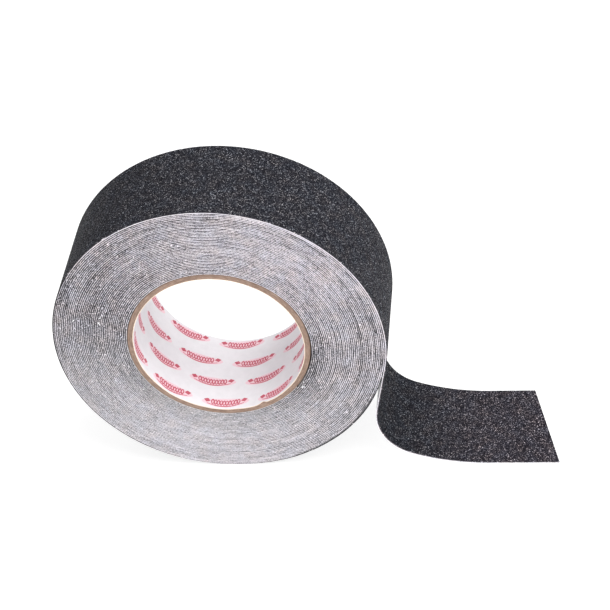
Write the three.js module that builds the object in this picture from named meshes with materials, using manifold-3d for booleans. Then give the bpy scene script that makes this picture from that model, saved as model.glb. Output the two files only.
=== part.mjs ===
// Roll of self-adhesive anti-slip grip tape, standing on its rim with the free end laid out on the floor.
// Millimetres, +Z up. The origin is on the floor under the roll's axis, at the middle of the tape's width.
// The roll's axis lies along Y, its front face looks along -Y, and the free end runs out along +X.
import * as THREE from "three";
import Module from "manifold-3d";
import * as BufferGeometryUtils from "three/addons/utils/BufferGeometryUtils.js";

// ---- driving dimensions ----
const TAPE_WIDTH = 48;
const BORE_RADIUS = 38.1;
const PRINTED_PLY = 0.3;
const CORE_OUTER_RADIUS = 40.7;
const ROLL_RADIUS = 74.6;
const LINER = 0.15;
const ADHESIVE = 0.12;
const FILM = 0.14;
const GRIT = 0.4;
const PITCH = LINER + ADHESIVE + FILM + GRIT;
const SKIN_GAP = 0.02;
const BAND_TURNS = 14;

// The tape leaves the roll going down, 11.5 degrees below the level of the axis. It falls straight, turns upright,
// then sweeps out in a tight bend and an easy one until it lies flat.
const STRAIGHT_FALL = 25;
const UPRIGHT_BEND_RADIUS = 27.5;
const TIGHT_BEND_RADIUS = 24;
const EASY_BEND_START = -21;
const TIP_X_FRONT = 149.1;
const TIP_X_BACK = 138.8;

// Distances along the free end, from where it leaves the roll, at which one stiff stretch hands over to the next.
const LEAD_LENGTH = 32;
const BEND_END = 76;
const PEEL_START = 103;
const PAST_TIP = 130;
const JOINT_GAP = 0.3;

// ---- facets: rim steps are counted from the resting flat, and the tape leaves the roll at the tenth ----
const FLAT_HALF_ANGLE = 6;
const RIM_STEPS = 48;
const DEPARTURE_STEP = 10;
const RIM_STEP_ANGLE = (360 - 2 * FLAT_HALF_ANGLE) / RIM_STEPS;
const TAIL_STEP = 3;

const COLORS = {
  kraft: 0xb3947c,
  print: 0xe6e3ea,
  wound: 0x9f9ea3,
  liner: 0xd9d8dc,
  adhesive: 0xb9b6a8,
  film: 0x6c6c70,
  grit: 0x3f4146,
};

const kraftBoard = new THREE.MeshStandardMaterial({ color: COLORS.kraft, roughness: 0.9, metalness: 0 });
const printedPaper = new THREE.MeshStandardMaterial({ color: COLORS.print, roughness: 0.6, metalness: 0 });
const woundEdge = new THREE.MeshStandardMaterial({ color: COLORS.wound, roughness: 0.75, metalness: 0 });
const releaseLiner = new THREE.MeshStandardMaterial({ color: COLORS.liner, roughness: 0.45, metalness: 0 });
const adhesiveCoat = new THREE.MeshStandardMaterial({ color: COLORS.adhesive, roughness: 0.35, metalness: 0 });
const carrierFilm = new THREE.MeshStandardMaterial({ color: COLORS.film, roughness: 0.4, metalness: 0 });
const gritCoat = new THREE.MeshStandardMaterial({ color: COLORS.grit, roughness: 0.95, metalness: 0 });

const wasm = await Module();
wasm.setup();

const radians = THREE.MathUtils.degToRad;

// ---- the rim: angles in degrees from +X towards +Z, one flat facet centred straight down ----
const FIRST_RIM_ANGLE = -90 + FLAT_HALF_ANGLE;
const rimAngle = (step) => FIRST_RIM_ANGLE + step * RIM_STEP_ANGLE;
const DEPARTURE_ANGLE = rimAngle(DEPARTURE_STEP);

// The outermost turn gains one thickness of tape over its 360 degrees, and stays level across the resting flat.
function turnRadius(angle) {
  const fromBottom = ((angle - 270 + 540) % 360) - 180;
  const level = Math.abs(fromBottom) <= FLAT_HALF_ANGLE + 0.001 ? angle - fromBottom : angle;
  return ROLL_RADIUS - PITCH * (level - DEPARTURE_ANGLE) / 360;
}

const RESTING_RADIUS = turnRadius(270);
const AXIS_HEIGHT = RESTING_RADIUS * Math.cos(radians(FLAT_HALF_ANGLE));

function rimPoint(radius, angle) {
  const a = radians(angle);
  return new THREE.Vector2(radius * Math.cos(a), AXIS_HEIGHT + radius * Math.sin(a));
}

function ringPoints(radius) {
  return Array.from({ length: RIM_STEPS + 1 }, (_, step) => rimPoint(radius, rimAngle(step)));
}

// The outermost turn, from its start behind the departure point to the departure point itself, one turn later.
function turnPoints(depth) {
  const points = [];
  for (let step = 0; step <= RIM_STEPS + 1; step += 1) {
    const flatJump = step + DEPARTURE_STEP > RIM_STEPS ? 2 * FLAT_HALF_ANGLE - RIM_STEP_ANGLE : 0;
    const angle = rimAngle(DEPARTURE_STEP + step) + flatJump;
    points.push(rimPoint(turnRadius(angle) - depth, angle));
  }
  return points.reverse();
}

// ---- the free end: straights and arcs followed along the underside of the liner ----
function tailPieces() {
  const start = rimPoint(ROLL_RADIUS - PITCH, DEPARTURE_ANGLE);
  const leaving = DEPARTURE_ANGLE - 90;
  const pieces = [{ length: STRAIGHT_FALL, turn: 0 }];
  pieces.push({ radius: UPRIGHT_BEND_RADIUS, turn: -90 - leaving });
  pieces.push({ radius: TIGHT_BEND_RADIUS, turn: EASY_BEND_START + 90 });
  const upright = UPRIGHT_BEND_RADIUS * Math.cos(radians(leaving));
  const tight = TIGHT_BEND_RADIUS * Math.cos(radians(EASY_BEND_START));
  const left = start.y + STRAIGHT_FALL * Math.sin(radians(leaving)) + upright - tight;
  const easyRadius = left / (1 - Math.cos(radians(EASY_BEND_START)));
  pieces.push({ radius: easyRadius, turn: -EASY_BEND_START });
  pieces.push({ length: TIP_X_FRONT, turn: 0 });
  return { start, leaving, pieces };
}

// Point and heading at a distance along the free end, the point raised from the liner's underside by lift.
function tailPoint(distance, lift) {
  const { start, leaving, pieces } = tailPieces();
  const at = start.clone();
  let heading = leaving;
  let left = distance;
  for (const piece of pieces) {
    const length = piece.turn ? piece.radius * radians(piece.turn) : piece.length;
    const step = Math.min(left, length);
    const turn = piece.turn ? THREE.MathUtils.radToDeg(step / piece.radius) : 0;
    const chord = piece.turn ? 2 * piece.radius * Math.sin(radians(turn) / 2) : step;
    at.x += chord * Math.cos(radians(heading + turn / 2));
    at.y += chord * Math.sin(radians(heading + turn / 2));
    heading += turn;
    left -= step;
    if (left <= 0) break;
  }
  const normal = radians(heading + 90);
  return new THREE.Vector2(at.x + lift * Math.cos(normal), at.y + lift * Math.sin(normal));
}

function tailPoints(from, to, lift) {
  const steps = Math.ceil((to - from) / TAIL_STEP);
  return Array.from({ length: steps + 1 }, (_, i) => tailPoint(from + (i / steps) * (to - from), lift));
}

// ---- solids ----
const group = new THREE.Group();

function add(name, geometry, material) {
  const mesh = new THREE.Mesh(geometry, material);
  mesh.name = name;
  group.add(mesh);
  return mesh;
}

// A side outline in X and Z, swept across the tape's width.
function acrossTape(outline, holes) {
  const shape = new THREE.Shape(outline);
  for (const hole of holes) {
    shape.holes.push(new THREE.Path(hole));
  }
  const geometry = new THREE.ExtrudeGeometry(shape, { depth: TAPE_WIDTH, bevelEnabled: false, steps: 1 });
  geometry.rotateX(Math.PI / 2);
  geometry.translate(0, TAPE_WIDTH / 2, 0);
  return geometry;
}

function ring(name, inner, outer, material) {
  return add(name, acrossTape(ringPoints(outer), [ringPoints(inner)]), material);
}

function strip(lower, upper) {
  return acrossTape([...lower, ...upper.slice().reverse()], []);
}

function toManifold(geometry) {
  const bare = geometry.clone();
  bare.deleteAttribute("normal");
  bare.deleteAttribute("uv");
  const merged = BufferGeometryUtils.mergeVertices(bare, 1e-5);
  const vertProperties = new Float32Array(merged.attributes.position.array);
  const triVerts = new Uint32Array(merged.index.array);
  return new wasm.Manifold(new wasm.Mesh({ numProp: 3, vertProperties, triVerts }));
}

function fromManifold(solid) {
  const { vertProperties, triVerts } = solid.getMesh();
  const geometry = new THREE.BufferGeometry();
  geometry.setAttribute("position", new THREE.BufferAttribute(new Float32Array(vertProperties), 3));
  geometry.setIndex(new THREE.BufferAttribute(new Uint32Array(triVerts), 1));
  geometry.computeVertexNormals();
  return geometry;
}

// Everything beyond the slanting hand cut at the tip.
function pastTheCut() {
  const far = TIP_X_FRONT + TAPE_WIDTH;
  const reach = TAPE_WIDTH;
  const slope = (TIP_X_BACK - TIP_X_FRONT) / TAPE_WIDTH;
  const plan = new THREE.Shape();
  plan.moveTo(TIP_X_FRONT - slope * (reach - TAPE_WIDTH / 2), -reach);
  plan.lineTo(far, -reach);
  plan.lineTo(far, reach);
  plan.lineTo(TIP_X_FRONT + slope * (reach + TAPE_WIDTH / 2), reach);
  plan.closePath();
  const geometry = new THREE.ExtrudeGeometry(plan, { depth: 4 * PITCH, bevelEnabled: false, steps: 1 });
  return geometry.translate(0, 0, -PITCH);
}

function cutAtTip(geometry) {
  return fromManifold(toManifold(geometry).subtract(toManifold(pastTheCut())));
}

// ---- the paper core ----
ring("core_print_sleeve", BORE_RADIUS, BORE_RADIUS + PRINTED_PLY - SKIN_GAP, printedPaper);
ring("core_tube", BORE_RADIUS + PRINTED_PLY, CORE_OUTER_RADIUS - SKIN_GAP, kraftBoard);

// ---- the wound tape: two round bands of turns, then one whose rim is the spiral under the outermost turn ----
const BAND = BAND_TURNS * PITCH;
ring("inner_turns", CORE_OUTER_RADIUS, CORE_OUTER_RADIUS + BAND - SKIN_GAP, woundEdge);
ring("middle_turns", CORE_OUTER_RADIUS + BAND, CORE_OUTER_RADIUS + 2 * BAND - SKIN_GAP, woundEdge);
const outerBandHole = ringPoints(CORE_OUTER_RADIUS + 2 * BAND);
const outerBandRim = turnPoints(PITCH + SKIN_GAP);
add("outer_turns", acrossTape(outerBandRim, [outerBandHole]), woundEdge);

// ---- the four layers of the tape, by how far each lies above the liner's underside ----
const LAYERS = [
  { name: "liner", from: 0, to: LINER - SKIN_GAP, material: releaseLiner },
  { name: "adhesive", from: LINER, to: LINER + ADHESIVE - SKIN_GAP, material: adhesiveCoat },
  { name: "film", from: LINER + ADHESIVE, to: LINER + ADHESIVE + FILM - SKIN_GAP, material: carrierFilm },
  { name: "grit", from: LINER + ADHESIVE + FILM, to: PITCH, material: gritCoat },
];

function outermostTurn(layer) {
  const lower = turnPoints(PITCH - layer.from);
  const upper = turnPoints(PITCH - layer.to);
  add(`outer_turn_${layer.name}`, strip(lower, upper), layer.material);
}

function tailStretch(name, layer, from, to) {
  const lower = tailPoints(from + JOINT_GAP, to, layer.from);
  const upper = tailPoints(from + JOINT_GAP, to, layer.to);
  const geometry = strip(lower, upper);
  add(`${name}_${layer.name}`, to > PEEL_START ? cutAtTip(geometry) : geometry, layer.material);
}

for (const layer of LAYERS) {
  outermostTurn(layer);
  tailStretch("tail_lead", layer, 0, LEAD_LENGTH);
  tailStretch("tail_bend", layer, LEAD_LENGTH, BEND_END);
  if (layer.name === "liner") {
    tailStretch("tail_end", layer, BEND_END, PAST_TIP);
  } else {
    tailStretch("tail_end", layer, BEND_END, PEEL_START);
    tailStretch("peel_tab", layer, PEEL_START, PAST_TIP);
  }
}

export default group;
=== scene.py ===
"""Looks for the grip tape roll: black anti-slip tape wound on a lined core, with its free end laid out.

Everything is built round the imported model. The tape is one strip: a path gives its underside, and each
layer is a closed solid at its own height above that path. The grit coat's upper side is a field of facets.
"""

import math

import bpy
import numpy as np
from mathutils import Matrix, Vector


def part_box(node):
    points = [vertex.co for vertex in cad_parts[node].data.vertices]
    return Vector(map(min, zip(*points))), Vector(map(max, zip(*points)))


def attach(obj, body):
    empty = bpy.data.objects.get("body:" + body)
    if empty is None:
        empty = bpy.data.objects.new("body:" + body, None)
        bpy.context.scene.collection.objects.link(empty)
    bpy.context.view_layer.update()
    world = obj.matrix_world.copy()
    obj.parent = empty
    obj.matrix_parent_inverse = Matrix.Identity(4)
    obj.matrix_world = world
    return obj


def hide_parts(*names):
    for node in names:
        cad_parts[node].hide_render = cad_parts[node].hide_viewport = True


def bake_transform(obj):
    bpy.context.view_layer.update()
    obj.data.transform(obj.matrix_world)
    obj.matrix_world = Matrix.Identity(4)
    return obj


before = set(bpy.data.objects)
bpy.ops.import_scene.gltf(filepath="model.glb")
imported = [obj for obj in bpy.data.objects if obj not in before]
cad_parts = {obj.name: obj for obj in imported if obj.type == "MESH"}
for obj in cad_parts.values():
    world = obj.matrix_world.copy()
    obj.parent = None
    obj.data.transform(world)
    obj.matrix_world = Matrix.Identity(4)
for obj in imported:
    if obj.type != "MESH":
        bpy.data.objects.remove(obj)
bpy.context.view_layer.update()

MM = 0.001

# ---- the tape's layers, from the side that faces the core ----
LINER = 0.15 * MM
ADHESIVE = 0.12 * MM
FILM = 0.14 * MM
PITCH_NOMINAL = 0.81 * MM

# ---- how the free end runs, in the order it leaves the roll ----
DEPARTURE = math.radians(-11.5)
STRAIGHT_FALL = 25 * MM
UPRIGHT_BEND_RADIUS = 27.5 * MM
TIGHT_BEND_RADIUS = 24 * MM
EASY_BEND_START = math.radians(-21)
TIP_SLANT = -10.3 * MM

# How far along the free end each hinge lies, by the body that it starts.
HINGES = {"tail_lead": 0.15 * MM, "tail_bend": 32.15 * MM, "tail_end": 76.15 * MM, "peel_tab": 103.15 * MM}

# Round CAD nodes stand on a flat facet, and this is half the angle it takes up.
FLAT_HALF_ANGLE = math.radians(6)


def ring_of(node):
    """Height of the axis and the radius of a round CAD node."""
    low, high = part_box(node)
    radius = (high.z - low.z) / (1 + math.cos(FLAT_HALF_ANGLE))
    return high.z - radius, radius


AXIS_Z, CORE_RADIUS = ring_of("core_tube")
LINING_RADIUS = ring_of("core_print_sleeve")[1]
LINING_THICKNESS = 0.28 * MM
BORE_RADIUS = LINING_RADIUS - LINING_THICKNESS
HALF_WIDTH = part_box("core_tube")[1].y
# The rim is a spiral, and its top lies a little over a quarter of a turn before the strip leaves.
TURN_FROM_TOP = (math.pi / 2 - DEPARTURE) / math.tau
ROLL_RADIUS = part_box("outer_turn_grit")[1].z - AXIS_Z + PITCH_NOMINAL * TURN_FROM_TOP
TIP_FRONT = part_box("tail_end_liner")[1].x

# The tape's inner end lies about 37 degrees under level on the right, with a small gap beside the core.
INNER_END_SHARE = 0.929
TURNS = math.floor((ROLL_RADIUS - CORE_RADIUS) / PITCH_NOMINAL - 1) + INNER_END_SHARE
PITCH = (ROLL_RADIUS - CORE_RADIUS) / (TURNS + 1)
CLEAR = 0.006 * MM
LAYERS = {
    "liner": (0, LINER - CLEAR),
    "adhesive": (LINER, LINER + ADHESIVE - CLEAR),
    "film": (LINER + ADHESIVE, LINER + ADHESIVE + FILM - CLEAR),
    "grit": (LINER + ADHESIVE + FILM, PITCH - CLEAR),
}


# ---- noise ----
# Each uneven thing has its own seed. A stretch or band adds its own order to the seed.
SEEDS = {
    "tension": 3,
    "slack": 5,
    "face_drift": 11,
    "loose_runs": 17,
    "wear_and_shade": 19,
    "lining_edge": 23,
    "fine_wear": 29,
    "torn_spots": 37,
    "turn_offset": 40,
    "loose_breaks": 43,
    "band_edge": 45,
    "rim_edge": 61,
    "rim_grit": 71,
    "tail_edge": 81,
    "tail_grit": 91,
}
# Noise wraps round at 1, so a run that mustn't meet its own start stops here.
SHORT_OF_WRAP = 0.999
ONE_CELL_A_TURN = round(TURNS)


def smooth_noise(seed, u, v, u_cells, v_cells):
    """Value noise from -1 to 1 over u, which wraps round at 1, and v from 0 to 1."""
    grid = np.random.default_rng(seed).uniform(-1, 1, (u_cells, v_cells + 1))
    x = (u % 1) * u_cells
    y = np.clip(v, 0, 1) * v_cells
    i = np.floor(x).astype(int)
    j = np.minimum(np.floor(y).astype(int), v_cells - 1)
    fx = x - i
    fy = y - j
    fx = fx * fx * (3 - 2 * fx)
    fy = fy * fy * (3 - 2 * fy)
    i = i % u_cells
    k = (i + 1) % u_cells
    near = grid[i, j] * (1 - fx) + grid[k, j] * fx
    far = grid[i, j + 1] * (1 - fx) + grid[k, j + 1] * fx
    return near * (1 - fy) + far * fy


def line_noise(seed, u, cells):
    """Noise from -1 to 1 along one direction."""
    return smooth_noise(seed, u, np.zeros_like(u), cells, 1)


def turn_noise(name, turns_back, cells_round, cells_deep=ONE_CELL_A_TURN):
    """Noise over the wound turns, with a number of cells round each turn and from the rim to the core."""
    around = DEPARTURE / math.tau + turns_back
    return smooth_noise(SEEDS[name], around, turns_back / TURNS, cells_round, cells_deep)


def edge_wear(seed, along, wavelength):
    """A ragged line along the strip, from 0 to 1."""
    length = along.max() - along.min()
    cells = max(3, round(length / wavelength))
    u = (along - along.min()) / length * SHORT_OF_WRAP
    return 0.5 + 0.5 * line_noise(seed, u, cells)


# ---- paths: underside point (x, z) and outward normal of the strip ----
SETTLED_HEIGHT = 4 * MM
# The first and last turns lie firmly round, and the ones between them wander more or less.
FIRM_TURNS = 3
TENSION_WAVE = 0.17 * MM
SLACK_WAVE = 0.07 * MM
# Longer than any free end, so that its last stretch runs on to wherever the cut lies.
RUN_ON = 1.0


def settle_on_floor(z):
    """The roll's own weight flattens the lowest turns, so that none of them is below the floor."""
    sink = ROLL_RADIUS - PITCH * (math.pi * 1.5 - DEPARTURE) / math.tau - AXIS_Z
    squeezed = SETTLED_HEIGHT - (SETTLED_HEIGHT - z) * SETTLED_HEIGHT / (SETTLED_HEIGHT + sink)
    return np.where(z < SETTLED_HEIGHT, squeezed, z)


def wound_radius(turns_back):
    """Radius of the strip's underside. It is uneven, because the winding was pulled more or less tight."""
    even = ROLL_RADIUS - PITCH * (turns_back + 1)
    free = np.clip((turns_back - 1) / FIRM_TURNS, 0, 1)
    free *= np.clip((TURNS - turns_back) / FIRM_TURNS, 0, 1)
    wave = TENSION_WAVE * turn_noise("tension", turns_back, cells_round=9, cells_deep=8)
    slack = SLACK_WAVE * turn_noise("slack", turns_back, cells_round=11, cells_deep=44)
    return even + free * (wave + slack)


def wound_path(turns_back):
    """The wound strip, at a number of turns back from where the free end leaves."""
    angle = DEPARTURE + math.tau * turns_back
    normal = np.stack([np.cos(angle), np.sin(angle)], -1)
    return normal * wound_radius(turns_back)[..., None] + np.array([0, AXIS_Z]), normal


def tail_stretches():
    """The free end's first heading, and the (radius or None, turn, length) of each straight and bend."""
    leaving = DEPARTURE - math.pi / 2
    top = AXIS_Z + (ROLL_RADIUS - PITCH) * math.sin(DEPARTURE)
    fall = STRAIGHT_FALL * math.sin(leaving)
    fall += UPRIGHT_BEND_RADIUS * math.cos(leaving) - TIGHT_BEND_RADIUS * math.cos(EASY_BEND_START)
    easy_radius = (top + fall) / (1 - math.cos(EASY_BEND_START))
    bends = [
        (UPRIGHT_BEND_RADIUS, -math.pi / 2 - leaving),
        (TIGHT_BEND_RADIUS, EASY_BEND_START + math.pi / 2),
        (easy_radius, -EASY_BEND_START),
    ]
    rows = [(None, 0, STRAIGHT_FALL)]
    rows += [(radius, turn, radius * turn) for radius, turn in bends]
    return leaving, rows + [(None, 0, RUN_ON)]


def tail_path(distance):
    """The free end, at a distance past where it leaves the roll."""
    heading, rows = tail_stretches()
    x = np.full(distance.shape, (ROLL_RADIUS - PITCH) * math.cos(DEPARTURE))
    z = np.full(distance.shape, AXIS_Z + (ROLL_RADIUS - PITCH) * math.sin(DEPARTURE))
    facing = np.full(distance.shape, heading)
    done = 0
    for radius, turn, length in rows:
        part = np.clip(distance - done, 0, length)
        swept = part / radius if radius else np.zeros_like(part)
        chord = 2 * radius * np.sin(swept / 2) if radius else part
        x = x + chord * np.cos(heading + swept / 2)
        z = z + chord * np.sin(heading + swept / 2)
        facing = facing + swept
        heading += turn
        done += length
    normal = np.stack([-np.sin(facing), np.cos(facing)], -1)
    return np.stack([x, z], -1), normal


def tip_distance(y):
    """How far along the free end the slanting cut lies, at a place across the tape."""
    flat_from = sum(length for _, _, length in tail_stretches()[1][:-1])
    flat_x = tail_path(np.array([flat_from]))[0][0, 0]
    front = flat_from + TIP_FRONT - flat_x
    return front + TIP_SLANT * (y + HALF_WIDTH) / (2 * HALF_WIDTH)


# ---- nodes that the materials are made of ----
BLACK = (0, 0, 0)
WHITE = (1, 1, 1)


def grey(level):
    return (level, level, level)


def new_material(name, rough, spec):
    """A material with its node tree and its shader."""
    material = bpy.data.materials.new(name)
    material.use_nodes = True
    shader = material.node_tree.nodes["Principled BSDF"]
    shader.inputs["Roughness"].default_value = rough
    shader.inputs["Specular IOR Level"].default_value = spec
    return material, material.node_tree, shader


def node(tree, kind, **values):
    """A new node. Each value sets the input of that name, or else the node's own property."""
    made = tree.nodes.new(kind)
    for key, value in values.items():
        if key in made.inputs:
            made.inputs[key].default_value = value
        else:
            setattr(made, key, value)
    return made


def tape_coordinates(tree, stretch=(1, 1, 1)):
    """Each point's place in the flat strip: along it, across it and through it."""
    place = node(tree, "ShaderNodeAttribute", attribute_name="strip_place")
    scaled = node(tree, "ShaderNodeMapping")
    scaled.inputs["Scale"].default_value = stretch
    tree.links.new(place.outputs["Vector"], scaled.inputs["Vector"])
    return scaled.outputs["Vector"]


def strip_wear_and_shade(tree):
    return node(tree, "ShaderNodeAttribute", attribute_name="strip_wear_and_shade").outputs["Fac"]


def ramp(tree, factor, stops):
    made = node(tree, "ShaderNodeValToRGB")
    elements = made.color_ramp.elements
    while len(elements) < len(stops):
        elements.new(0.5)
    for element, (position, color) in zip(elements, stops):
        element.position = position
        element.color = (*color, 1)
    tree.links.new(factor, made.inputs["Fac"])
    return made.outputs["Color"]


def mix(tree, factor, first, second, blend="MIX"):
    """Two colours mixed. The factor and either colour may be a value or another node's output."""
    made = node(tree, "ShaderNodeMix", data_type="RGBA", blend_type=blend)
    for name, value in (("Factor", factor), ("A", first), ("B", second)):
        kind = "VALUE" if name == "Factor" else "RGBA"
        target = next(s for s in made.inputs if s.name == name and s.type == kind)
        if isinstance(value, bpy.types.NodeSocket):
            tree.links.new(value, target)
        else:
            target.default_value = value if name == "Factor" else (*value, 1)
    return next(s for s in made.outputs if s.type == "RGBA")


def multiply(tree, first, second):
    return mix(tree, 1.0, first, second, "MULTIPLY")


def multiply_add(tree, value, factor, added):
    """value times a plain number, plus added."""
    made = node(tree, "ShaderNodeMath", operation="MULTIPLY_ADD")
    tree.links.new(value, made.inputs[0])
    made.inputs[1].default_value = factor
    tree.links.new(added, made.inputs[2])
    return made.outputs[0]


def add_bump(tree, shader, height, strength, distance):
    bump = node(tree, "ShaderNodeBump", Strength=strength, Distance=distance)
    tree.links.new(height, bump.inputs["Height"])
    tree.links.new(bump.outputs["Normal"], shader.inputs["Normal"])


def noise(tree, vector, scale, detail=3, rough=0.6):
    made = node(tree, "ShaderNodeTexNoise", Scale=scale, Detail=detail, Roughness=rough)
    tree.links.new(vector, made.inputs["Vector"])
    return made.outputs["Fac"]


def grains(tree, vector, scale):
    """Two random values of each mineral grain, and the distance to its middle."""
    made = node(tree, "ShaderNodeTexVoronoi", Scale=scale)
    tree.links.new(vector, made.inputs["Vector"])
    split = node(tree, "ShaderNodeSeparateColor")
    tree.links.new(made.outputs["Color"], split.inputs["Color"])
    return split.outputs["Red"], split.outputs["Green"], made.outputs["Distance"]


def tinted(tree, color, vector, scale, warm, cool):
    """The colour with faint warm and cool patches."""
    patches = noise(tree, vector, scale, detail=2, rough=0.5)
    return multiply(tree, color, ramp(tree, patches, [(0.3, warm), (0.7, cool)]))


# ---- materials ----
GRAIN_SCALE = 3600
GRAIN_TONES = [
    (0, (0.003, 0.003, 0.005)),
    (0.5, (0.0105, 0.0105, 0.0145)),
    (0.8, (0.033, 0.033, 0.041)),
    (0.93, (0.095, 0.095, 0.109)),
    (1, (0.34, 0.34, 0.365)),
]
GRAIN_ROUGHNESS = [(0, grey(0.28)), (0.35, grey(0.6)), (1, grey(0.9))]
# A few grains get a pale spot in their middle: painted glints.
PAINTED_GLINT_SCALE = 1500
PAINTED_GLINT = (0.4, 0.4, 0.43)
# Distances along the strip from where it leaves the roll, and the grit's tone there: painted shade on the
# left of the rim and over the free end's bends, and painted light with a faint dust tint on the free end's
# flat part.
DUST_AND_PAINTED_LIGHT = [
    (-290 * MM, (0.88, 0.88, 0.88)),
    (-215 * MM, (0.56, 0.57, 0.61)),
    (-150 * MM, (0.9, 0.9, 0.9)),
    (0, (0.88, 0.88, 0.88)),
    (32 * MM, (0.68, 0.7, 0.7)),
    (56 * MM, (0.72, 0.73, 0.73)),
    (95 * MM, (1.32, 1.19, 1.19)),
]


def grit_dust_and_painted_light(tree, color):
    """The grit's colour with its dust tint, and with painted light and shade along the strip."""
    split = node(tree, "ShaderNodeSeparateXYZ")
    tree.links.new(tape_coordinates(tree), split.inputs[0])
    first = DUST_AND_PAINTED_LIGHT[0][0]
    last = DUST_AND_PAINTED_LIGHT[-1][0]
    along = node(tree, "ShaderNodeMapRange", **{"From Min": first, "From Max": last})
    tree.links.new(split.outputs["X"], along.inputs["Value"])
    stops = [((run - first) / (last - first), tone) for run, tone in DUST_AND_PAINTED_LIGHT]
    return multiply(tree, color, ramp(tree, along.outputs[0], stops))


def grit_material():
    """Black mineral grains in resin: most are dull and some are grey, and a few pale spots are painted
    glints.
    """
    material, tree, shader = new_material("grit_coat", rough=0.7, spec=0.03)
    place = tape_coordinates(tree)
    tone, gloss, _ = grains(tree, place, GRAIN_SCALE)
    clumps = noise(tree, place, scale=2300, detail=2, rough=0.5)
    shade = ramp(tree, clumps, [(0.3, grey(0.6)), (0.7, grey(1.3))])
    color = multiply(tree, ramp(tree, tone, GRAIN_TONES), shade)
    # Painted glints on a few chosen grains.
    chance, _, away = grains(tree, place, PAINTED_GLINT_SCALE)
    glint_spots = ramp(tree, chance, [(0.972, BLACK), (0.978, WHITE)])
    middle = ramp(tree, away, [(0.28, WHITE), (0.4, BLACK)])
    color = mix(tree, multiply(tree, glint_spots, middle), color, PAINTED_GLINT)
    color = tinted(tree, color, place, scale=170, warm=(1.06, 1, 0.95), cool=(0.94, 1, 1.05))
    tree.links.new(grit_dust_and_painted_light(tree, color), shader.inputs["Base Color"])
    tree.links.new(ramp(tree, gloss, GRAIN_ROUGHNESS), shader.inputs["Roughness"])
    roughened = noise(tree, place, scale=3800, detail=2, rough=0.7)
    add_bump(tree, shader, roughened, strength=0.5, distance=0.15 * MM)
    return material


LINT = (0.78, 0.78, 0.8)
LINT_WEAR_LIMIT = 0.85
LINT_WEAR_WEIGHT = 0.06


def lint_cover(tree, wear_and_shade):
    """1 where pale lint clings, which is more often where the edges are worn."""
    lint = noise(tree, tape_coordinates(tree, (0.5, 1, 0.6)), scale=1500, detail=2, rough=0.5)
    capped = node(tree, "ShaderNodeMath", operation="MINIMUM")
    tree.links.new(wear_and_shade, capped.inputs[0])
    capped.inputs[1].default_value = LINT_WEAR_LIMIT
    clinging = multiply_add(tree, capped.outputs[0], LINT_WEAR_WEIGHT, lint)
    return ramp(tree, clinging, [(0.69, BLACK), (0.74, WHITE)])


def edge_material(name, stops, rough, darkening, scale=1600):
    """A knife-cut edge of one layer, flecked pale and dark where the blade dragged grains and fibres, and
    darkened by its wear and its painted shade.
    """
    material, tree, shader = new_material(name, rough, spec=0.25)
    place = tape_coordinates(tree, (1, 1, 3))
    flecks = noise(tree, place, scale, rough=0.7)
    wear_and_shade = strip_wear_and_shade(tree)
    color = ramp(tree, multiply_add(tree, wear_and_shade, -darkening, flecks), stops)
    color = mix(tree, lint_cover(tree, wear_and_shade), color, LINT)
    patches = noise(tree, place, scale=70)
    shade = ramp(tree, patches, [(0.3, (0.88, 0.83, 0.88)), (0.7, (1.12, 1.06, 1.1))])
    color = multiply(tree, color, shade)
    face = node(tree, "ShaderNodeTexCoord").outputs["Object"]
    color = tinted(tree, color, face, scale=190, warm=(1.04, 1, 0.96), cool=(0.97, 1, 1.03))
    tree.links.new(color, shader.inputs["Base Color"])
    add_bump(tree, shader, flecks, strength=0.6, distance=0.1 * MM)
    return material


# The bump of a smooth web is this much finer than its mottling.
FINER = 4


def sheet_material(name, dark, light, rough, spec, scale):
    """A smooth web such as paper or film, faintly mottled."""
    material, tree, shader = new_material(name, rough, spec)
    place = tape_coordinates(tree)
    mottle = noise(tree, place, scale, detail=5)
    tree.links.new(ramp(tree, mottle, [(0.3, dark), (0.7, light)]), shader.inputs["Base Color"])
    grain = noise(tree, place, scale * FINER)
    add_bump(tree, shader, grain, strength=0.25, distance=0.06 * MM)
    return material


def kraft_material():
    """Brown paper board: long fibres round the tube, dark flecks, a fuzzy cut edge."""
    material, tree, shader = new_material("kraft_board", rough=0.88, spec=0.2)
    fibres = noise(tree, tape_coordinates(tree, (0.25, 1, 1)), scale=1500, detail=5, rough=0.7)
    browns = [(0.3, (0.18, 0.12, 0.09)), (0.55, (0.3, 0.21, 0.165)), (0.75, (0.42, 0.31, 0.25))]
    cloud = noise(tree, tape_coordinates(tree), scale=120)
    shade = ramp(tree, cloud, [(0.3, (0.85, 0.83, 0.82)), (0.7, grey(1.1))])
    tree.links.new(multiply(tree, ramp(tree, fibres, browns), shade), shader.inputs["Base Color"])
    add_bump(tree, shader, fibres, strength=0.7, distance=0.12 * MM)
    return material


def ink_material(name, full, usual, thin):
    """Flexographic ink, thin in places so that the paper shows through."""
    material, tree, shader = new_material(name, rough=0.45, spec=0.4)
    cover = noise(tree, tape_coordinates(tree), scale=1800, detail=4, rough=0.7)
    color = ramp(tree, cover, [(0.3, full), (0.6, usual), (0.78, thin)])
    tree.links.new(color, shader.inputs["Base Color"])
    return material


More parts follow.
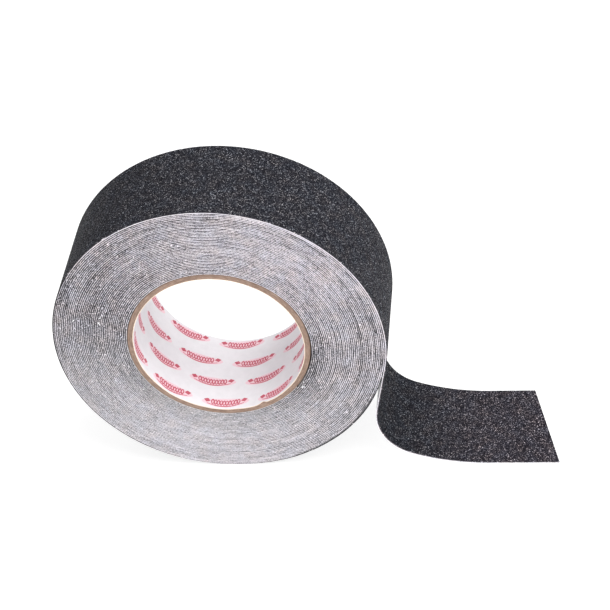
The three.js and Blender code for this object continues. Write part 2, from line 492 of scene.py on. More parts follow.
DUST = (0.03, 0.03, 0.034)
GRIT_EDGE_TONES = [(0.34, (0.02, 0.02, 0.023)), (0.46, (0.12, 0.12, 0.125)), (0.53, (0.45, 0.45, 0.47))]
FILM_EDGE_TONES = [(0.34, DUST), (0.46, (0.25, 0.25, 0.265)), (0.6, (0.66, 0.66, 0.69))]
ADHESIVE_EDGE_TONES = [(0.33, DUST), (0.4, (0.45, 0.45, 0.46)), (0.55, (0.8, 0.8, 0.82))]
LINER_EDGE_TONES = [(0.32, DUST), (0.38, (0.5, 0.5, 0.52)), (0.54, (0.86, 0.86, 0.88))]
LINER_FACE = sheet_material(
    "release_liner", dark=(0.7, 0.7, 0.72), light=(0.8, 0.8, 0.82), rough=0.35, spec=0.5, scale=500
)
ADHESIVE_FACE = sheet_material(
    "adhesive", dark=(0.5, 0.48, 0.42), light=(0.62, 0.6, 0.54), rough=0.22, spec=0.5, scale=350
)
FILM_FACE = sheet_material(
    "carrier_film", dark=(0.1, 0.1, 0.11), light=(0.16, 0.16, 0.17), rough=0.4, spec=0.5, scale=600
)
LINING = sheet_material(
    "printed_paper", dark=(0.71, 0.705, 0.725), light=(0.76, 0.755, 0.775), rough=0.5, spec=0.4, scale=260
)
LINING_EDGE = sheet_material(
    "printed_paper_edge", dark=(0.86, 0.68, 0.52), light=(0.93, 0.82, 0.7), rough=0.7, spec=0.3, scale=900
)
KRAFT = kraft_material()
INK = ink_material("red_ink", full=(0.44, 0.055, 0.09), usual=(0.52, 0.1, 0.145), thin=(0.69, 0.34, 0.39))
TINT = ink_material("pink_tint", full=(0.79, 0.52, 0.58), usual=(0.8, 0.59, 0.64), thin=(0.79, 0.69, 0.73))

EDGES = {
    "liner": edge_material("liner_cut_edge", LINER_EDGE_TONES, rough=0.6, darkening=0.1),
    "adhesive": edge_material("adhesive_cut_edge", ADHESIVE_EDGE_TONES, rough=0.4, darkening=0.1),
    "film": edge_material("film_cut_edge", FILM_EDGE_TONES, rough=0.5, darkening=0.1),
    "grit": edge_material("grit_cut_edge", GRIT_EDGE_TONES, rough=0.8, darkening=0.16, scale=1700),
}
FACES = {"liner": LINER_FACE, "adhesive": ADHESIVE_FACE, "film": FILM_FACE, "grit": grit_material()}


# ---- meshes ----
SHARP_EDGE = math.radians(35)


def put_attribute(mesh, name, kind, field, values):
    attribute = mesh.attributes.new(name, kind, "POINT")
    attribute.data.foreach_set(field, values.astype(np.float32).ravel())


def add_object(name, data):
    made = bpy.data.objects.new(name, data)
    bpy.context.scene.collection.objects.link(made)
    return made


def side_faces(count, size, round_trip):
    """Four-sided faces between neighbouring rings, count rings of size points each."""
    starts = np.arange(count if round_trip else count - 1)[:, None]
    ends = (starts + 1) % count
    first = np.arange(size)[None, :]
    second = (first + 1) % size
    near = starts * size
    far = ends * size
    return np.stack([near + first, near + second, far + second, far + first], -1).reshape(-1, 4)


def inside_out(points, faces):
    """Whether the faces' corners run the wrong way round, so that the volume they enclose is negative."""
    a, b, c, d = (points[faces[:, k]] - points.mean(0) for k in range(4))
    return (a * (np.cross(b, c) + np.cross(c, d))).sum() < 0


def loft(name, rings, places, wear_and_shade, side_materials, round_trip=False, cap_material=None, smooth=False):
    """A closed solid through rings of points, with a material for each side of its section."""
    count, size = rings.shape[:2]
    points = rings.reshape(-1, 3)
    faces = side_faces(count, size, round_trip)
    caps = []
    if not round_trip:
        caps = [list(range(size))[::-1], list(range((count - 1) * size, count * size))]
    if inside_out(points, faces):
        faces = faces[:, ::-1]
        caps = [cap[::-1] for cap in caps]
    mesh = bpy.data.meshes.new(name)
    mesh.from_pydata(points.tolist(), [], faces.tolist() + caps)
    palette = list(dict.fromkeys(side_materials + [cap_material] * len(caps)))
    for material in palette:
        mesh.materials.append(material)
    side_index = np.tile([palette.index(material) for material in side_materials], len(faces) // size)
    index = np.append(side_index, [palette.index(cap_material)] * len(caps)) if caps else side_index
    mesh.polygons.foreach_set("material_index", index.astype(np.int32))
    mesh.polygons.foreach_set("use_smooth", np.full(len(mesh.polygons), smooth))
    if smooth:
        mesh.set_sharp_from_angle(angle=SHARP_EDGE)
    put_attribute(mesh, "strip_place", "FLOAT_VECTOR", "vector", places)
    put_attribute(mesh, "strip_wear_and_shade", "FLOAT", "value", np.repeat(wear_and_shade, size))
    mesh.validate()
    mesh.update()
    return add_object(name, mesh)


def section(layers, columns):
    """Points round the strip's section, the material of each side, and which points are the upper side's.

    A point is its height, its place across from -1 to 1, and 1 where the grit coat is cut back. The points
    run up the front edge, over the upper side and down the back edge.
    """
    heights = [LAYERS[layers[0]][0], *[LAYERS[layer][1] for layer in layers[:-1]]]
    front = [(height, -1, 0) for height in heights]
    edges = [EDGES[layer] for layer in layers]
    cut_back = 1 if layers[-1] == "grit" else 0
    if layers == ("grit",):
        front = [(heights[0], -1, cut_back)]
    elif cut_back:
        front.append((LAYERS["grit"][0], -1, cut_back))
        edges.append(EDGES["grit"])
    top = [(LAYERS[layers[-1]][1], across, cut_back) for across in np.linspace(-1, 1, columns + 1)]
    back = [(height, -across, cut) for height, across, cut in reversed(front)]
    materials = edges + [FACES[layers[-1]]] * columns + edges[::-1] + [FACES[layers[0]]]
    return np.array(front + top + back), materials, slice(len(front), len(front) + columns + 1)


def strip(
    name, layers, path, along, cut_back, wear_and_shade, columns=1, bumps=None, shift=None, run=None, slanted=False
):
    """One stretch of the strip, or of some of its layers, as a closed solid along a path.

    cut_back narrows the grit coat, bumps raise the upper side, and shift moves the stretch across. run
    gives distances along the strip where the path isn't measured in them. slanted ends it at the tip's cut.
    """
    rows, materials, top = section(layers, columns)
    height = np.tile(rows[:, 0], (len(along), 1))
    if bumps is not None:
        height[:, top] += bumps
    y = rows[None, :, 1] * (HALF_WIDTH - cut_back[:, None] * rows[None, :, 2])
    if shift is not None:
        y = y + shift[:, None]
    steps = np.tile(along[:, None], (1, len(rows)))
    if slanted:
        share = (along - along[0]) / (along[-1] - along[0])
        steps = along[0] + share[:, None] * (tip_distance(y) - along[0])
    base, normal = path(steps)
    x = base[..., 0] + normal[..., 0] * height
    z = base[..., 1] + normal[..., 1] * height
    if path is wound_path:
        z = settle_on_floor(z)
    run = steps if run is None else np.tile(run[:, None], (1, len(rows)))
    places = np.stack([run, y, height], -1)
    return loft(name, np.stack([x, y, z], -1), places, wear_and_shade, materials, cap_material=EDGES[layers[-1]])


# ---- the grit coat's facets ----
GRIT_STEP = 0.52 * MM
GRIT_COLUMNS = round(2 * HALF_WIDTH / GRIT_STEP)
GRIT_DEPTH = 0.16 * MM
CLUMP_LENGTH = 2.2 * MM
CLUMPS_ACROSS = 22
CLUMP_WEIGHT = 0.07
# Above 1, this leaves more of the facet corners near the tops of the grains.
GRAIN_POWER = 1.4
# The cut flattens the facets next to the two edges.
EDGE_RELIEF = 0.35
EDGE_REACH = 1.6 * MM


def grit_heights(seed, rows):
    """How far each facet corner lies under the tops of the grains."""
    grain = np.random.default_rng(seed).uniform(0, 1, (rows, GRIT_COLUMNS + 1)) ** GRAIN_POWER
    along = np.linspace(0, SHORT_OF_WRAP, rows)
    u, v = np.meshgrid(along, np.linspace(0, 1, GRIT_COLUMNS + 1), indexing="ij")
    cells = max(4, round(rows * GRIT_STEP / CLUMP_LENGTH))
    clumps = 0.5 + 0.5 * smooth_noise(seed + 1, u, v, cells, CLUMPS_ACROSS)
    from_edge = np.minimum(v, 1 - v) * 2 * HALF_WIDTH
    relief = np.clip(EDGE_RELIEF + from_edge / EDGE_REACH, 0, 1)
    return -GRIT_DEPTH * relief * ((1 - CLUMP_WEIGHT) * grain + CLUMP_WEIGHT * clumps)


def facets(layer, seed, rows):
    """What strip needs to give the grit coat its facets. The other layers are smooth."""
    if layer != "grit":
        return {}
    return {"columns": GRIT_COLUMNS, "bumps": grit_heights(seed, rows)}


# ---- the wound turns ----
# Wear darkens a cut edge and lets lint cling to it: about 0 is a clean cut, and 1 is a dragged one. Painted
# shade is added to it in places and darkens the edge the same way.
# Directions on a face are in degrees, with 0 on the right as seen from the front, and 90 at the top.
STEPS_PER_TURN = 400
OFFSETS_PER_TURN = 1.7
TURN_OFFSET = 0.045 * MM
FACE_DRIFT = 0.05 * MM
CUT_BACK = 0.3 * MM
LOOSE_CUT_BACK = 1.2 * MM
# Painted shade on the cut edges where the grit came off, on top of the gaps' real depth.
LOOSE_GAP_SHADE = 1.2
CLEAN_WEAR = -0.7
USUAL_CUT = 0.3
WORN_CUT = 0.8
RAGGED_CUT = 0.4
RAGGED_TURNS = 0.006
# How far out from the core the painted shade beside it reaches.
CORE_SHADE_REACH = 11 * MM
CLEAN_TURNS = 2.2
# The grit comes off in the outer part of the winding: where that has faded out, and over how much of it.
LOOSE_END = 0.42
LOOSE_FADE = 0.12
# Torn spots are full strength over this many turns, and fade out over the next ones.
TORN_FULL_TURNS = 2.8
TORN_FADE_TURNS = 7


def strip_run(turns_back):
    """Distance along the strip from the departure, going back over the wound turns."""
    return -math.tau * (ROLL_RADIUS * turns_back - PITCH * turns_back * turns_back / 2)


def lobe(angle, toward, level, swing, low=0):
    """A share that changes round the face: it is greatest in one direction, and stays from low to 1."""
    return np.clip(level + swing * np.cos(angle - math.radians(toward)), low, 1)


def blotches(name, back, cells_round, level, swing, high=1):
    """A share in patches along the turns, from 0 to high."""
    return np.clip(level + swing * turn_noise(name, back, cells_round), 0, high)


def painted_groove_shade(angle):
    """Painted groove shade: cut edges darker on two opposite quarters of each face, where the grooves are
    seen full on, and on the left half. It is also darker towards the upper right.
    """
    # Painted shade where the grooves are seen full on.
    quarters = 0.43 + 0.32 * np.cos(2 * (angle - math.radians(161)))
    # Painted shade on the left half.
    left_half = 0.22 * np.cos(angle - math.radians(190))
    return quarters + left_half + 0.22 * lobe(angle, toward=60, level=0, swing=1) ** 2


def face_wear_and_shade(back, angle):
    """How worn the cut edges are, with painted shade added: the groove shade round the face, and painted
    shade between the core and the lower turns next to it.
    """
    # Painted shade between the core and the first turns, on the lower side.
    painted_core_shade = np.clip(1 - (wound_radius(back) - CORE_RADIUS) / CORE_SHADE_REACH, 0, 1)
    wear_and_shade = painted_groove_shade(angle)
    wear_and_shade += 0.18 * turn_noise("wear_and_shade", back, cells_round=9)
    wear_and_shade += 0.35 * turn_noise("fine_wear", back, cells_round=70)
    return wear_and_shade + 0.75 * painted_core_shade * lobe(angle, toward=-80, level=0.5, swing=1.5)


def clean_rim(back, angle):
    """1 where the last turns kept a clean pale edge, at the lower right, and less level with the axis."""
    last_turns = np.clip(CLEAN_TURNS - back, 0, 1)
    side = lobe(angle, toward=-25, level=0.7, swing=1.2)
    return last_turns * side * (1 - 0.8 * lobe(angle, toward=0, level=-1.5, swing=2.5))


def loose_grit(back, angle):
    """How much of the grit has come off the cut edges, in broken runs and in small torn spots."""
    runs = blotches("loose_runs", back, cells_round=5, level=-0.8, swing=2.8, high=0.8)
    runs *= lobe(angle, toward=55, level=0.45, swing=1.1, low=0.12)
    runs *= blotches("loose_breaks", back, cells_round=26, level=0.55, swing=1.3)
    runs *= np.clip((LOOSE_END - back / TURNS) / LOOSE_FADE, 0.15, 1)
    spots = blotches("torn_spots", back, cells_round=46, level=-0.8, swing=3.4, high=0.7)
    spots *= np.clip(1 - (back - TORN_FULL_TURNS) / TORN_FADE_TURNS, 0, 1)
    spots *= lobe(angle, toward=60, level=0.6, swing=0.6, low=0.15)
    return np.maximum(runs, spots)


def wound_band(name, node_name, first, last, order):
    """Some turns of the wound strip, whose cut edges make the roll's two faces."""
    steps = round((last - first) * STEPS_PER_TURN)
    back = np.linspace(last, first, steps + 1)
    angle = DEPARTURE + math.tau * back
    offset = line_noise(SEEDS["turn_offset"] + order, back / TURNS, round(TURNS * OFFSETS_PER_TURN))
    drift = turn_noise("face_drift", back, cells_round=7, cells_deep=14)
    shift = TURN_OFFSET * offset + FACE_DRIFT * drift
    clean = clean_rim(back, angle)
    wear_and_shade = face_wear_and_shade(back, angle) + CLEAN_WEAR * clean
    loose = loose_grit(back, angle) * (1 - clean)
    ragged = edge_wear(SEEDS["band_edge"] + order, back, RAGGED_TURNS)
    cut_back = CUT_BACK * (USUAL_CUT + WORN_CUT * wear_and_shade + RAGGED_CUT * ragged) + LOOSE_CUT_BACK * loose
    up_to_next_turn = wound_radius(back - 1) - wound_radius(back) - PITCH
    # The cut edges get painted shade where the grit came off.
    band = strip(
        name, tuple(LAYERS), wound_path, back, cut_back, wear_and_shade + LOOSE_GAP_SHADE * loose,
        bumps=up_to_next_turn[:, None], shift=shift, run=strip_run(back),
    )
    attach(band, "roll")
    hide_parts(node_name)


BANDS = [("wound_outer", "outer_turns"), ("wound_middle", "middle_turns"), ("wound_inner", "inner_turns")]
BAND_STARTS = [(ROLL_RADIUS - ring_of(inner_node)[1]) / PITCH for _, inner_node in BANDS[1:]]
BAND_ENDS = [1, *BAND_STARTS, TURNS]
for band_order, (band_name, band_node) in enumerate(BANDS):
    wound_band(band_name, band_node, BAND_ENDS[band_order], BAND_ENDS[band_order + 1], band_order)


# ---- the outermost turn, layer by layer ----
# How strongly each layer's edge is darkened where the rim has been rubbed.
RUBBED_WEAR = {"liner": 0.7, "adhesive": 1.0, "film": 3.2}
DULL_WEAR = 2
# Painted shade on the rim's pale edges at the lower right, where shadow falls beside the free end.
PAINTED_SHADE_DARKENING = 3.5
UNTOUCHED_WEAR = -0.8
GRIT_EDGE_WEAR = 1.6
GRIT_EDGE_CLEANED = -1.8
FINE_CUT_BACK = 0.06 * MM
RIM_RAGGED_TURNS = 0.004


def angular_patch(angle, middle, half_width):
    """1 over a stretch of the rim and 0 away from it. The middle and half width are in degrees."""
    away = (angle - math.radians(middle) + math.pi) % math.tau - math.pi
    return np.exp(-((away / math.radians(half_width)) ** 4))


def rim_turn():
    """The rim of the roll, whose cut edges have been handled more than the others, and have painted shade
    at the lower right, beside the free end.
    """
    steps = round(math.tau * ROLL_RADIUS / GRIT_STEP)
    back = np.linspace(1, 0, steps + 1)
    angle = DEPARTURE + math.tau * back
    cut_back = FINE_CUT_BACK * edge_wear(SEEDS["rim_edge"], back, RIM_RAGGED_TURNS)
    dull = angular_patch(angle, middle=165, half_width=28)
    # Painted shade at the lower right, beside the free end.
    painted_shade_patch = angular_patch(angle, middle=-43, half_width=24)
    clean = angular_patch(angle, middle=-100, half_width=28)
    rubbed = lobe(angle, toward=-115, level=0.5, swing=1.5) + DULL_WEAR * dull
    for layer in LAYERS:
        if layer == "grit":
            wear_and_shade = GRIT_EDGE_WEAR + GRIT_EDGE_CLEANED * clean
        else:
            wear_and_shade = RUBBED_WEAR[layer] * rubbed + PAINTED_SHADE_DARKENING * painted_shade_patch + UNTOUCHED_WEAR
        made = strip(
            f"rim_{layer}", (layer,), wound_path, back, cut_back, wear_and_shade,
            run=strip_run(back), **facets(layer, SEEDS["rim_grit"], steps + 1),
        )
        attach(made, "roll")
        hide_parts(f"outer_turn_{layer}")


rim_turn()

# ---- the free end ----
TAIL_GRIT_STEP = 0.45 * MM
TAIL_RAGGED_LENGTH = 1.5 * MM
# Each stretch's name, its start and end along the strip, and the bodies before and after the hinge in it.
STRETCHES = [
    ("lead", 0, 18 * MM, "roll", "tail_lead"),
    ("upper_bend", 18 * MM, 54 * MM, "tail_lead", "tail_bend"),
    ("lower_bend", 54 * MM, 90 * MM, "tail_bend", "tail_end"),
    ("tip", 90 * MM, 125 * MM, "tail_end", "peel_tab"),
]
# How far before and after its hinge the strip bends, by the body after it.
BEND_REACH = {
    "tail_lead": (0, 14 * MM),
    "tail_bend": (-7 * MM, 7 * MM),
    "tail_end": (-7 * MM, 7 * MM),
    "peel_tab": (0, 11 * MM),
}


def path_point(distance):
    """A place on the free end's upper side, in the middle of its width."""
    base, normal = tail_path(np.array([distance]))
    x, z = base[0] + normal[0] * PITCH
    return (x, 0, z)


def free_end():
    """The four stretches of the free end, and the tip's liner stays down."""
    for order, (name, start, end, parent, child) in enumerate(STRETCHES):
        steps = round((end - start) / TAIL_GRIT_STEP)
        along = np.linspace(start, end, steps + 1)
        cut_back = FINE_CUT_BACK * edge_wear(SEEDS["tail_edge"] + order, along, TAIL_RAGGED_LENGTH)
        before, after = BEND_REACH[child]
        bend_from = path_point(HINGES[child] + before)
        bend_to = path_point(HINGES[child] + after)
        for layer in LAYERS:
            wear_and_shade = np.full(steps + 1, 1.0 if layer == "grit" else 0.0)
            made = strip(
                f"{name}_{layer}", (layer,), tail_path, along, cut_back, wear_and_shade,
                slanted=name == "tip", **facets(layer, SEEDS["tail_grit"] + order, steps + 1),
            )
            stays_down = name == "tip" and layer == "liner"
            node_name = "tail_end_liner" if stays_down else f"{child}_{layer}"
            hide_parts(node_name)
            if stays_down:
                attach(made, "tail_end")
            else:
                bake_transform(made)


free_end()


# ---- the core ----
BOARD_STEPS = 360
BOARD_SETBACK = 0.12 * MM
BOARD_CHAMFER = 0.2 * MM
BOARD_GAP = 0.02 * MM
PLIES = 6
PLY_GROOVE = 0.05 * MM
LINING_STEPS = 720
LINING_SETBACK = 0.25 * MM
LINING_COLUMNS = 8
NICK_ANGLE = math.radians(-65.6)
NICK_DEPTH = 1.1 * MM
NICK_HALF_WIDTH = 1.5 * MM
RAGGED_DEPTH = 0.12 * MM
RAGGED_CELLS = 60


def tube(name, profile, materials, steps, front_shift=None):
    """A closed ring turned about the roll's axis from a profile of (radius, y)."""
    angles = np.arange(steps) / steps * math.tau
    radius = np.tile(profile[:, 0], (steps, 1))
    y = np.tile(profile[:, 1], (steps, 1))
    if front_shift is not None:
        y = np.where(y < 0, y + front_shift(angles)[:, None], y)
    x = radius * np.cos(angles)[:, None]
    z = AXIS_Z + radius * np.sin(angles)[:, None]
    places = np.stack([angles[:, None] * np.full_like(radius, BORE_RADIUS), y, radius], -1)
    rings = np.stack([x, y, z], -1)
    return loft(name, rings, places, np.zeros(steps), materials, round_trip=True, smooth=True)


def core_board():
    """Spiral-wound board: on each cut end its plies show as fine rings."""
    inner = LINING_RADIUS + BOARD_GAP
    end = HALF_WIDTH - BOARD_SETBACK
    front = [(inner, -end + BOARD_CHAMFER)]
    for radius in np.linspace(inner + BOARD_CHAMFER, CORE_RADIUS - BOARD_CHAMFER, PLIES):
        front.append((radius - PLY_GROOVE, -end))
        front.append((radius, -end + PLY_GROOVE))
    front.append((CORE_RADIUS, -end + BOARD_CHAMFER))
    profile = np.array(front + [(radius, -y) for radius, y in reversed(front)])
    made = tube("core_board", profile, [KRAFT] * len(profile), BOARD_STEPS)
    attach(made, "roll")
    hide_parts("core_tube")


def ragged_front(angles):
    """How far the lining's front edge stands back: a little everywhere, and a nick in one place."""
    away = (angles - NICK_ANGLE + math.pi) % math.tau - math.pi
    nick = NICK_DEPTH * np.exp(-((away * BORE_RADIUS / NICK_HALF_WIDTH) ** 2))
    return nick + RAGGED_DEPTH * line_noise(SEEDS["lining_edge"], angles / math.tau, RAGGED_CELLS)


def core_lining():
    """The printed paper inside the core."""
    end = HALF_WIDTH - LINING_SETBACK
    across = np.linspace(-end, end, LINING_COLUMNS + 1)
    inside = [(BORE_RADIUS, y) for y in across]
    outside = [(LINING_RADIUS, y) for y in across[::-1]]
    materials = ([LINING] * LINING_COLUMNS + [LINING_EDGE]) * 2
    made = tube("core_lining", np.array(inside + outside), materials, LINING_STEPS, ragged_front)
    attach(made, "roll")
    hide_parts("core_print_sleeve")


core_board()
core_lining()

# ---- the print on the lining: marks in slanting rows ----
# A mark is a plain braid between two diamonds, over a rule and on a pale lens. It is drawn flat, in
# millimetres from its middle.
MARKS_ROUND = 9
MARK_ROWS = 4
ROW_PITCH = 13.3 * MM
FIRST_ROW = 4.4 * MM
FIRST_MARK = math.radians(226.8)
ROW_STAGGER = math.radians(-11.8)
MARK_SLOPE = 0.05
TINT_RAISE = 0.015 * MM
INK_RAISE = 0.035 * MM
BRAID_HALF_LENGTH = 6.6
BRAID_HALF_HEIGHT = 1.45
BRAID_WAVES = 5
STRAND_HALF_WIDTH = 0.29
BACK_STRAND_HALF_WIDTH = 0.22
LENS_HALF_LENGTH = 11
LENS_HALF_HEIGHT = 2.75
# The lens is half a sine wave that stops this many radians short of each end, so that its ends have width.
LENS_BLUNTNESS = 0.02
RULE_HALF_LENGTH = 8.6
RULE_HALF_WIDTH = 0.16
RULE_SWELL = 0.14
DIAMOND_NEAR = 7.1
DIAMOND_HALF_LENGTH = 1.5
DIAMOND_HALF_HEIGHT = 1.3
DIAMOND_POINT = 0.05
DIAMOND_LOW = 0.6
DIAMOND_HIGH = 1.4
PRINT_INKS = [INK, TINT]


def sagging_line(half_length, level, sag, points):
    """A line along the mark that hangs down in its middle."""
    t = np.linspace(0, 1, points)
    return np.stack([half_length * (2 * t - 1), level - sag * np.sin(t * math.pi)], -1)


def strand(side):
    """One of the two waves that cross to make the braid."""
    line = sagging_line(BRAID_HALF_LENGTH, level=0.5, sag=0.9, points=97)
    swing = np.sin(np.linspace(0, 1, len(line)) * math.tau * BRAID_WAVES)
    line[:, 1] += side * BRAID_HALF_HEIGHT * swing
    return line


def diamond(side):
    """The middle line of the small solid diamond at one end of the braid, rising a little outwards."""
    out = DIAMOND_NEAR + DIAMOND_HALF_LENGTH * np.arange(3)
    return np.stack([side * out, np.linspace(DIAMOND_LOW, DIAMOND_HIGH, 3)], -1)


def mark_strokes():
    """The line, half widths, thickness and ink of each stroke in a mark."""
    lens = sagging_line(LENS_HALF_LENGTH, level=0.1, sag=0.4, points=33)
    rule = sagging_line(RULE_HALF_LENGTH, level=-0.9, sag=1.7, points=41)
    front = strand(1)
    behind = strand(-1)
    across_lens = np.linspace(LENS_BLUNTNESS, math.pi - LENS_BLUNTNESS, len(lens))
    rule_half_widths = RULE_HALF_WIDTH + RULE_SWELL * np.sin(np.linspace(0, math.pi, len(rule)))
    diamond_half_widths = np.array([DIAMOND_POINT, DIAMOND_HALF_HEIGHT, DIAMOND_POINT])
    return [
        (lens, LENS_HALF_HEIGHT * np.sin(across_lens) ** 0.5, TINT_RAISE, TINT),
        (front, np.full(len(front), STRAND_HALF_WIDTH), INK_RAISE, INK),
        (behind, np.full(len(behind), BACK_STRAND_HALF_WIDTH), INK_RAISE + TINT_RAISE, INK),
        (rule, rule_half_widths, INK_RAISE, INK),
        (diamond(-1), diamond_half_widths, INK_RAISE, INK),
        (diamond(1), diamond_half_widths, INK_RAISE, INK),
    ]


def mark_places():
    """The angle and the place across of each mark's middle."""
    places = []
    for row in range(MARK_ROWS):
        for mark in range(MARKS_ROUND):
            angle = FIRST_MARK + ROW_STAGGER * row + math.tau * mark / MARKS_ROUND
            places.append((angle, -HALF_WIDTH + FIRST_ROW + ROW_PITCH * row))
    return places


def stroke_edges(line, half_widths, raised):
    """The four long edges of a stroke's solid, each as flat points and a radius."""
    along = np.gradient(line, axis=0)
    along /= np.linalg.norm(along, axis=1)[:, None]
    across = np.stack([-along[:, 1], along[:, 0]], -1) * half_widths[:, None]
    left = line + across
    right = line - across
    raised_radius = BORE_RADIUS - raised
    return [(left, raised_radius), (right, raised_radius), (right, BORE_RADIUS), (left, BORE_RADIUS)]


def stroke_faces(base, count):
    """The faces of a solid with four long edges of count points each, whose first point is number base."""
    faces = []
    for i in range(base, base + count - 1):
        for a, b in ((0, 1), (1, 2), (2, 3), (3, 0)):
            faces.append([i + a * count, i + b * count, i + b * count + 1, i + a * count + 1])
    faces.append([base + k * count for k in (3, 2, 1, 0)])
    faces.append([base + k * count + count - 1 for k in (0, 1, 2, 3)])
    return faces


def on_bore(flat, angle, y, radius):
    """Flat points of a mark, put on the curve of the bore."""
    around = angle + flat[:, 0] * MM / BORE_RADIUS
    across = y + flat[:, 1] * MM + MARK_SLOPE * flat[:, 0] * MM
    return np.stack([radius * np.cos(around), across, AXIS_Z + radius * np.sin(around)], -1)


def bore_print():
    """All the marks, as thin raised solids in one mesh."""
    vertices, places, faces, inks = [], [], [], []
    base = 0
    strokes = mark_strokes()
    for angle, y in mark_places():
        for line, half_widths, raised, ink in strokes:
            count = len(line)
            for edge, radius in stroke_edges(line, half_widths, raised):
                vertices.append(on_bore(edge, angle, y, radius))
                around = angle * BORE_RADIUS + edge[:, 0] * MM
                places.append(np.stack([around, y + edge[:, 1] * MM, np.full(count, radius)], -1))
            solid = stroke_faces(base, count)
            faces += solid
            inks += [PRINT_INKS.index(ink)] * len(solid)
            base += 4 * count
    mesh = bpy.data.meshes.new("bore_print")
    mesh.from_pydata(np.concatenate(vertices).tolist(), [], faces)
    for ink in PRINT_INKS:
        mesh.materials.append(ink)
    mesh.polygons.foreach_set("material_index", np.array(inks, dtype=np.int32))
    put_attribute(mesh, "strip_place", "FLOAT_VECTOR", "vector", np.concatenate(places))
    mesh.update()
    made = add_object("bore_print", mesh)
    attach(made, "roll")


bore_print()

# ---- slivers of liner that the blade left on the two faces, and shreds at the tape's inner end ----
# Each is a radius, an angle in degrees, a length, a width, the direction it points in degrees, and its
# face: -1 is the front and 1 is the back. Lengths are in millimetres.
SCRAPS = [
    (65.8, 166, 1.9, 0.5, 40, -1),
    (54.1, 162.7, 2.4, 0.55, -75, -1),
    (54.6, 161.2, 1.5, 0.45, 10, -1),
    (47.4, -149.6, 4.2, 0.34, -12, -1),
    (42.3, -36.2, 1.7, 0.6, 35, -1),
    (42.9, -33.8, 1.3, 0.5, -60, -1),
    (41.9, -32.2, 1.0, 0.4, 70, -1),
    (69.5, 104, 1.1, 0.35, 20, -1),
    (58, -52, 1.2, 0.4, 80, -1),
    (50.5, 31, 1.6, 0.3, -35, 1),
    (63.2, 118, 2.6, 0.4, 15, 1),
    (45.1, -96, 1.3, 0.5, 60, 1),
    (70.1, -141, 1.5, 0.35, -70, 1),
]
SCRAP_STEPS = 7
SCRAP_CURL = 0.5
SCRAP_THICKNESS = 0.05 * MM
SCRAP_SINK = 0.03 * MM
# Just over 1, so that a sliver's two points have some width.
SCRAP_BLUNTNESS = 1.02


def scrap(order, radius, angle, length, width, heading, side):
    """A curled sliver lying on one face, pointed at both ends."""
    t = np.linspace(-1, 1, SCRAP_STEPS)
    turn = math.radians(heading) + SCRAP_CURL * t
    step = length * MM / (SCRAP_STEPS - 1)
    x = radius * MM * math.cos(math.radians(angle)) + np.cumsum(np.cos(turn)) * step
    z = AXIS_Z + radius * MM * math.sin(math.radians(angle)) + np.cumsum(np.sin(turn)) * step
    half = 0.5 * width * MM * (SCRAP_BLUNTNESS - t * t) ** 0.5
    low = HALF_WIDTH - SCRAP_SINK
    high = low + SCRAP_THICKNESS
    rings = []
    for across, depth in ((-1, low), (1, low), (1, high), (-1, high)):
        y = np.full(SCRAP_STEPS, side * depth)
        rings.append(np.stack([x - across * half * np.sin(turn), y, z + across * half * np.cos(turn)], -1))
    points = np.stack(rings, 1)
    clean = np.zeros(SCRAP_STEPS)
    sides = [LINER_FACE] * len(rings)
    made = loft(f"scrap_{order}", points, points, clean, sides, cap_material=LINER_FACE)
    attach(made, "roll")


for scrap_order, values in enumerate(SCRAPS):
    scrap(scrap_order, *values)

# ---- camera, light and floor ----
CAMERA_AT = Vector((0.1346, -0.5797, 0.5631))
CAMERA_AIM = Vector((0.0367, 0, 0.0767))
CAMERA_ROLL = math.radians(-7.08)
CAMERA_LENS = 100.4
CAMERA_SENSOR = 36
CAMERA_FAR = 20
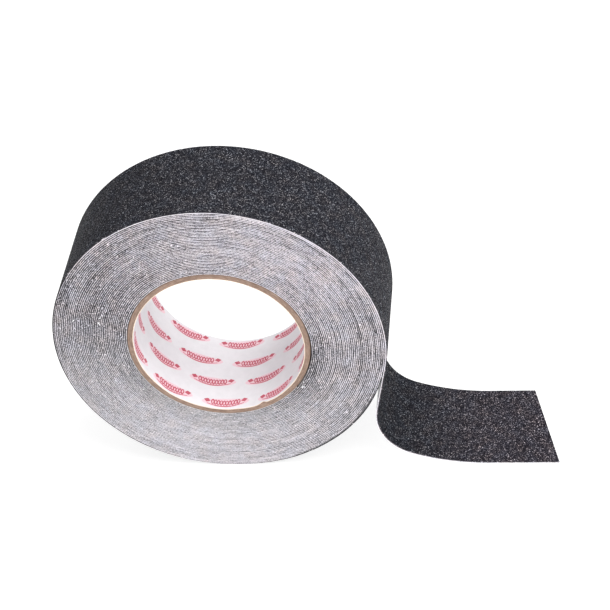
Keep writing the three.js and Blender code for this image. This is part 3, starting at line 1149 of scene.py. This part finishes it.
# Each lamp's name, its place, what it points at, its width and height, and its power in watts.
SOFTBOXES = [
    ("overhead", (0.58, -0.1, 1.25), (0.03, 0, 0.05), (1.4, 1.1), 23),
    ("front", (0.3, -1.5, 0.8), (0, 0, 0.07), (1.2, 0.8), 14),
    ("rear", (-0.2, 1.4, 0.8), (0, 0, 0.07), (1.0, 0.7), 4),
]
STUDIO_STRENGTH = 0.5
FLOOR_HALF_SIZE = 3
FLOOR_DROP = -0.1 * MM
FLOOR_TONE = 0.35
# The floor glows a little, so that it stays nearly white up to its edges.
FLOOR_GLOW = 0.76


def add_camera():
    data = bpy.data.cameras.new("camera")
    data.lens = CAMERA_LENS
    data.sensor_width = CAMERA_SENSOR
    data.clip_end = CAMERA_FAR
    made = add_object("camera", data)
    turn = (CAMERA_AIM - CAMERA_AT).to_track_quat("-Z", "Y").to_matrix().to_4x4()
    made.matrix_world = Matrix.Translation(CAMERA_AT) @ turn @ Matrix.Rotation(CAMERA_ROLL, 4, "Z")
    bpy.context.scene.camera = made


def add_softbox(name, at, aim, size, power):
    data = bpy.data.lights.new(name, "AREA")
    data.shape = "RECTANGLE"
    data.size, data.size_y = size
    data.energy = power
    made = add_object(name, data)
    made.location = at
    made.rotation_euler = (Vector(aim) - Vector(at)).to_track_quat("-Z", "Y").to_euler()


def add_floor():
    mesh = bpy.data.meshes.new("floor")
    signs = [(-1, -1), (1, -1), (1, 1), (-1, 1)]
    corners = [(x * FLOOR_HALF_SIZE, y * FLOOR_HALF_SIZE, FLOOR_DROP) for x, y in signs]
    mesh.from_pydata(corners, [], [(0, 1, 2, 3)])
    material, _, shader = new_material("floor", rough=0.9, spec=0.1)
    shader.inputs["Base Color"].default_value = (*grey(FLOOR_TONE), 1)
    shader.inputs["Emission Color"].default_value = (*WHITE, 1)
    shader.inputs["Emission Strength"].default_value = FLOOR_GLOW
    mesh.materials.append(material)
    made = add_object("floor", mesh)


def add_world():
    world = bpy.data.worlds.new("studio")
    world.use_nodes = True
    background = world.node_tree.nodes["Background"]
    background.inputs["Color"].default_value = (*WHITE, 1)
    background.inputs["Strength"].default_value = STUDIO_STRENGTH
    bpy.context.scene.world = world


add_camera()
add_world()
add_floor()
for lamp in SOFTBOXES:
    add_softbox(*lamp)
bpy.context.scene.view_settings.view_transform = "Standard"
